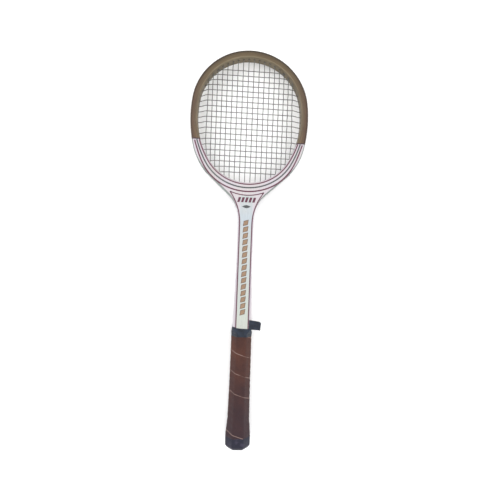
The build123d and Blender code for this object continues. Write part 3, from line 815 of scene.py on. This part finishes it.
def plate(outline, surface, sign):
    """Grid of a thin flat plate: its outline at two heights."""
    flat = np.asarray(outline, float)
    low = np.hstack([flat, np.full((len(flat), 1), surface - sign * line_low)])
    high = np.hstack([flat, np.full((len(flat), 1), surface + sign * line_high)])
    return np.stack([low, high])


def slanted_bar(x, y, width, height, lean):
    """Outline of a bar with level ends that leans to one side."""
    corners = np.array([(-1, -1), (1, -1), (1, 1), (-1, 1)]) / 2 * (width, height)
    return corners + (x, y) + np.stack([corners[:, 1] * lean, 0 * corners[:, 1]], -1)


def make_marks(crimson, slate, gold, brown):
    """Plain decoration: a row of leaning red bars in the throat, a grey lens, gold bars down the shaft."""
    for face, surface, sign in both_faces():
        for i in range(5):
            outline = slanted_bar((i - 2) * red_bar_pitch, red_bar_y, *red_bar)
            grid = plate(outline, surface, sign)
            make_piece(f"throat_bar_{i}_{face}", grid, crimson, smooth=False)
        angle = np.linspace(0, 2 * math.pi, 48, endpoint=False)
        lens = np.stack([lens_reach * np.cos(angle), lens_y + lens_rise * np.sin(angle) ** 3], -1)
        grid = plate(lens, surface, sign)
        make_piece(f"throat_lens_{face}", grid, slate, smooth=False)
        for i in range(15):
            y = gold_bar_y + gold_bar_pitch * i
            for name, paint, across, tall, above in (
                ("edge", brown, 8.6, 9.0, 0.0), ("fill", gold, 6.6, 6.8, 0.04),
            ):
                outline = slanted_bar(0.0, y, across * mm, tall * mm, gold_bar_lean)
                outline[:, 1] += np.array([-1, 1, 1, -1]) * gold_bar_slope
                grid = plate(outline, surface + sign * above * mm, sign)
                make_piece(f"shaft_{name}_{i}_{face}", grid, paint, smooth=False)


# ---------------------------------------------------------------- handle
def skin_sections(heights, shrink=0.0):
    """Half width, half depth and corner cut of the outer octagon at heights, taken in by shrink."""
    width = np.interp(heights, handle_sections[:, 0], handle_sections[:, 1]) - shrink
    depth = np.interp(heights, handle_sections[:, 0], handle_sections[:, 2]) - shrink
    return width, depth, 2 * facet_share * width


def make_leather(leather):
    """Strip wound up the handle in a spiral, its edges skived so that each turn tucks under the next.

    The surface is the rounded octagon moved in by a small amount that depends on the share across the
    strip: most at its two edges, none over its middle, with a soft swell and slow unevenness.
    """
    heights = np.linspace(cap_top - 1 * mm, grip_top, 381)
    width, depth, cut = skin_sections(heights)
    loops, facing = octagon_loops(heights, width, depth, cut, leather_round, per_corner=8, per_flat=5)
    turn = np.arctan2(loops[..., 2], loops[..., 0]) / (2 * math.pi)
    phase = (loops[..., 1] - (seam_start - seam_pitch / 4)) / seam_pitch - turn
    across = np.mod(phase, 1.0) * seam_pitch
    left = seam_pitch - across
    dip = 0.45 * np.exp(-(across / (0.9 * mm)) ** 2) + 0.20 * np.exp(-(left / (2.5 * mm)) ** 2)
    swell = 0.10 * (1 + np.sin(phase * 2 * math.pi * 3.1 + 2.0 * np.sin(turn * 2 * math.pi * 2)))
    outer = loops - facing * ((dip + swell)[..., None] * mm)
    inner, _ = octagon_loops(heights[::-1], *skin_sections(heights[::-1], skin - 0.05 * mm), 1.5 * mm,
                             per_corner=8, per_flat=5)
    grid = np.concatenate([outer, inner])
    make_piece("leather_wrap", grid, leather, ("leather_grip",), wrap_rows=True)


def make_cap(cap):
    """Cup over the end of the handle: outer octagon with rounded edges, an end face and an inner wall."""
    inner_heights = np.array([2.5, 3.0, 8.0, 24.0]) * mm
    rim = np.array([24.0, 23.4, 16.0, 10.5, 9.0, 8.0, 6.6, 4.6, 3.0, 1.6, 0.7, 0.2, 0.0]) * mm
    trim = np.array([0.55, 0.12, 0.02, 0.05, 0.15, 0.35, 0.22, 0.12, 0.25, 0.1, 0.15, 0.5, 1.2]) * mm
    wide, deep, cuts = skin_sections(rim)
    outer, _ = octagon_loops(rim, wide - trim, deep - trim, 2 * facet_share * (wide - trim), 1.6 * mm)
    inner, _ = octagon_loops(inner_heights, *skin_sections(inner_heights, skin), 1.2 * mm)
    make_piece("butt_cap_moulding", np.concatenate([inner, outer]), cap, ("butt_cap",))


cheek_slope = (200 * mm, 207 * mm)   # heights where the face cheeks slope down to the shaft
collar_low_half, collar_high_half = 17.5 * mm, 16.3 * mm
collar_half_depth, collar_high_cut = 14.6 * mm, 2.4 * mm
collar_below_tail = 27.4 * mm        # foot of the turns below the tail's upper edge
tape_thickness = 0.45 * mm


def make_tape(tape):
    """Two turns of tape, the upper one lapped over the lower, and the loose tail of the last turn.

    The turns are loops that shrink from the grip's octagon to the shaft's section over the cheek's ramp.
    The tail is a sheet of two parameters, along and across, that lifts off in a shallow curve.
    """
    ramp = np.array([0.0, 0.3, 5.0, 5.3, 5.6, 8.0, 10.0, 12.0, 13.1, 13.4]) * mm
    proud = np.array([0.10, 0.45, 0.45, 0.50, 0.85, 0.85, 0.80, 0.70, 0.60, 0.10]) * mm
    foot = tail_high - collar_below_tail
    share = ease((foot + ramp - cheek_slope[0]) / (cheek_slope[1] - cheek_slope[0]))
    width = collar_low_half + (collar_high_half - collar_low_half) * share
    depth = collar_half_depth + (paint_z - collar_half_depth) * share
    cut = 2 * facet_share * collar_low_half * (1 - share) + collar_high_cut * share
    stands = proud - 0.4 * mm
    loops, _ = octagon_loops(foot + ramp, width + stands, depth + stands, cut, 1.6 * mm)
    sunk = [values[::-1] - 0.9 * mm for values in (width, depth)]
    back, _ = octagon_loops(foot + ramp[::-1], *sunk, cut[::-1], 1.2 * mm)
    grid = np.concatenate([loops, back])
    rise = np.concatenate([ramp, ramp[::-1]])[:, None] / ramp[-1]
    grid[..., 1] += mm * rise**3 * np.interp(grid[..., 0], (-16 * mm, -6 * mm, 16 * mm), (3.4, 0.8, 0.0))
    make_piece("collar_tape_turns", grid, tape, ("collar_tape",), wrap_rows=True)

    along = np.linspace(0, 1, 25)[:, None]
    across = np.linspace(0, 1, 13)[None, :]
    start_x, foot, head = 12.0 * mm, tail_high - 14.6 * mm, tail_high + 1.6 * mm
    corner = ease((along - 0.86) / 0.14) * 2.2 * mm * across**3
    x = start_x + (tail_reach - 0.3 * mm - start_x) * along - (1 - across) * along * 1.4 * mm
    y = foot - 0.8 * mm * along + (head - foot - 0.3 * mm - 1.2 * mm * along) * across - corner
    lift = 1.9 * mm * along**2 + 0.35 * mm * np.sin(along * 7.0 + across * 2.0) * along
    z = paint_z + 0.25 * mm + lift
    sheet = np.stack(np.broadcast_arrays(x, y, z), -1)
    thick = np.array([0, 0, tape_thickness])
    section = np.concatenate([sheet + thick, sheet[:, ::-1]], 1)
    make_piece("collar_tape_tail", section, tape, smooth=True)


# ---------------------------------------------------------------- stage
def make_stage():
    """Pale floor under the racket, soft light from above and both sides, and the camera."""
    half = 3.0
    mesh = bpy.data.meshes.new("floor")
    z = floor_z - 0.4 * mm
    corners = [(-half, -half, z), (half, -half, z), (half, half, z), (-half, half, z)]
    mesh.from_pydata(corners, [], [(0, 1, 2, 3)])
    floor = bpy.data.objects.new("floor", mesh)
    bpy.context.scene.collection.objects.link(floor)
    material, add, place, parts = new_material("pale_floor")
    close_material(add, linear("#fbfbfb"), 0.9)
    mesh.materials.append(material)

    world = bpy.data.worlds.new("studio")
    bpy.context.scene.world = world
    world.use_nodes = True
    world.node_tree.nodes["Background"].inputs[0].default_value = (1.0, 1.0, 1.0, 1.0)
    world.node_tree.nodes["Background"].inputs[1].default_value = 1.35

    for name, place, size, power in (
        ("key", (-1.7, 1.2, 1.5), 1.2, 21.0),
        ("fill", (1.8, -0.1, 1.4), 1.4, 15.0),
    ):
        light = bpy.data.lights.new(name, "AREA")
        light.size = size
        light.energy = power
        lamp = bpy.data.objects.new(name, light)
        lamp.location = place
        aim = np.array([0.0, 0.35, 0.0]) - place
        tilt = math.atan2(math.hypot(aim[0], aim[1]), -aim[2])
        lamp.rotation_euler = (tilt, 0, math.atan2(-aim[0], aim[1]))
        bpy.context.scene.collection.objects.link(lamp)

    eye = bpy.data.cameras.new("camera")
    eye.lens = 25.2
    eye.sensor_width = 36.0
    eye.clip_start = 0.01
    camera = bpy.data.objects.new("camera", eye)
    camera.location = (-0.0213, 0.342, 0.607)
    camera.rotation_euler = (0, math.radians(-2.9), math.radians(2.17))
    bpy.context.scene.collection.objects.link(camera)
    bpy.context.scene.camera = camera
    bpy.context.scene.view_settings.view_transform = "Standard"


make_stage()
dress_frame()
crimson_paint = lacquer_line("crimson_lacquer", "#4f1230")
slate_paint = lacquer_line("slate_lacquer", "#3a4344")
gold_paint = lacquer_line("pale_gold_lacquer", "#8c7156")
brown_paint = lacquer_line("bronze_lacquer", "#5f4a3a")
make_lines(crimson_paint, slate_paint)
make_marks(crimson_paint, slate_paint, gold_paint, brown_paint)
make_leather(calf_leather())
make_cap(moulded_cap())
make_tape(vinyl_tape())
make_strings(nylon_string())
